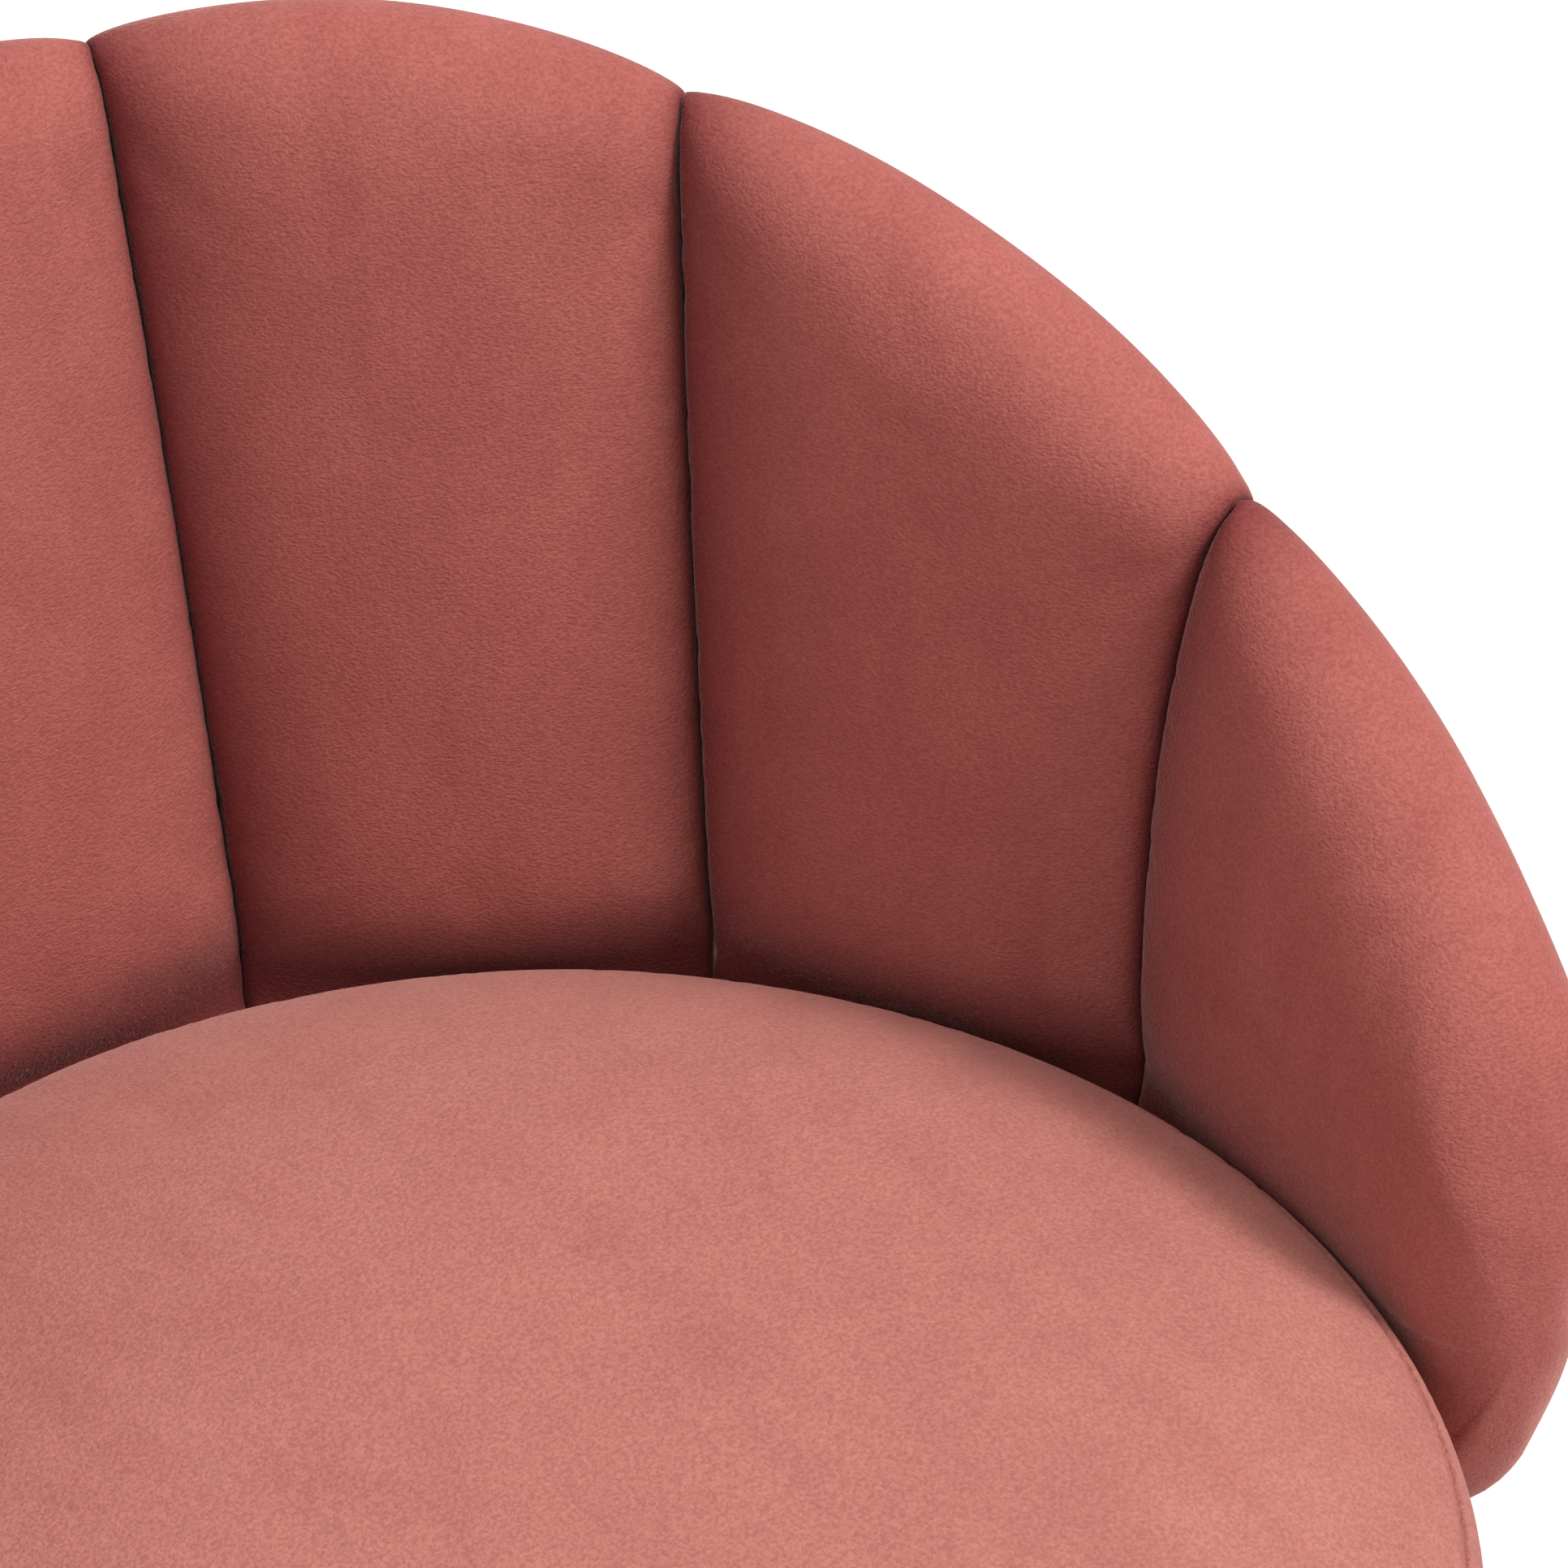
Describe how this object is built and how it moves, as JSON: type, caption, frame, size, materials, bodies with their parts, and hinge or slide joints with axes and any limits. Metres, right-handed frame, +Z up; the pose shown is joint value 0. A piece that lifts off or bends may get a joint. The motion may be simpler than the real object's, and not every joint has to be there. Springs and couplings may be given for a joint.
{
  "type": "swivel glider chair",
  "caption": "Round velvet glider chair with a domed seat and a shell of plump petals, on a swivel base with a link glide.",
  "frame": {"origin": "on the swivel axis, at the floor, which is the underside of the floor mat", "axes": "+Z up, -Y towards the front of the chair, +X to the right of someone who stands in front and faces the chair; left and right in node names are meant that way"},
  "size_m": [0.7766, 0.7474, 0.7529],
  "materials": {
    "velvet": "short-pile dusty terracotta pink velvet",
    "foam": "open-cell upholstery foam",
    "plywood": "raw birch plywood, lightly sanded",
    "black_steel": "fine-textured black powder coat",
    "zinc_steel": "zinc-plated steel",
    "rubber": "matt black rubber",
    "nylon": "natural nylon"
  },
  "bodies": {
    "base": {"floor_mat": "rubber", "base_plate": "black_steel", "bearing_lower_race": "zinc_steel", "spindle": "zinc_steel", "spindle_nut": "zinc_steel"},
    "ball_ring": {"ball_cage": "zinc_steel"},
    "carriage": {"bearing_upper_race": "zinc_steel", "carriage_plate": "black_steel", "carriage_cross_front": "black_steel", "upper_pin_front": "zinc_steel", "stop_bumper_front": "rubber", "carriage_cross_rear": "black_steel", "upper_pin_rear": "zinc_steel", "stop_bumper_rear": "rubber", "carriage_side_left": "black_steel", "carriage_side_right": "black_steel"},
    "link_front_left": {"link_front_left": "black_steel", "bush_upper_front_left": "nylon", "bush_lower_front_left": "nylon"},
    "link_front_right": {"link_front_right": "black_steel", "bush_upper_front_right": "nylon", "bush_lower_front_right": "nylon"},
    "link_rear_left": {"link_rear_left": "black_steel", "bush_upper_rear_left": "nylon", "bush_lower_rear_left": "nylon"},
    "link_rear_right": {"link_rear_right": "black_steel", "bush_upper_rear_right": "nylon", "bush_lower_rear_right": "nylon"},
    "chair": {"hanger_front_left": "black_steel", "lower_pin_front_left": "zinc_steel", "hanger_front_right": "black_steel", "lower_pin_front_right": "zinc_steel", "hanger_rear_left": "black_steel", "lower_pin_rear_left": "zinc_steel", "hanger_rear_right": "black_steel", "lower_pin_rear_right": "zinc_steel", "mount_rail_left": "black_steel", "mount_rail_right": "black_steel", "stop_tongue": "black_steel", "base_board": "plywood", "drum_hoop": "plywood", "drum_cover": "velvet", "seat_ring": "plywood", "shell_bolt_left": "zinc_steel", "shell_bolt_rear": "zinc_steel", "shell_bolt_right": "zinc_steel", "seat_spring_1": "zinc_steel", "seat_spring_2": "zinc_steel", "seat_spring_3": "zinc_steel", "seat_spring_4": "zinc_steel", "seat_foam": "foam", "seat_cover": "velvet", "back_shell": "plywood", "petal_1": "velvet", "petal_2": "velvet", "petal_3": "velvet", "petal_4": "velvet", "petal_5": "velvet", "petal_6": "velvet", "petal_7": "velvet"}
  },
  "joints": [
    {"name": "swivel", "type": "hinge", "parent": "base", "child": "carriage", "pos_m": [0, 0, 0.03], "axis": [0, 0, 1], "continuous": true},
    {"name": "ball_ring_turn", "type": "hinge", "parent": "base", "child": "ball_ring", "pos_m": [0, 0, 0.03], "axis": [0, 0, 1], "continuous": true},
    {"name": "glide", "type": "hinge", "parent": "carriage", "child": "link_front_left", "pos_m": [-0.153, -0.13, 0.165], "axis": [1, 0, 0], "range_deg": [-32, 32]},
    {"name": "chair_level", "type": "hinge", "parent": "link_front_left", "child": "chair", "pos_m": [-0.153, -0.13, 0.065], "axis": [1, 0, 0], "range_deg": [-32, 32]},
    {"name": "link_front_right_swing", "type": "hinge", "parent": "carriage", "child": "link_front_right", "pos_m": [0.153, -0.13, 0.165], "axis": [1, 0, 0], "range_deg": [-32, 32]},
    {"name": "link_rear_left_swing", "type": "hinge", "parent": "carriage", "child": "link_rear_left", "pos_m": [-0.153, 0.13, 0.165], "axis": [1, 0, 0], "range_deg": [-32, 32]},
    {"name": "link_rear_right_swing", "type": "hinge", "parent": "carriage", "child": "link_rear_right", "pos_m": [0.153, 0.13, 0.165], "axis": [1, 0, 0], "range_deg": [-32, 32]}
  ],
  "couplings": [
    {"joint": "ball_ring_turn", "follows": "swivel", "ratio": 0.5},
    {"joint": "chair_level", "follows": "glide", "ratio": -1},
    {"joint": "link_front_right_swing", "follows": "glide", "ratio": 1},
    {"joint": "link_rear_left_swing", "follows": "glide", "ratio": 1},
    {"joint": "link_rear_right_swing", "follows": "glide", "ratio": 1}
  ]
}
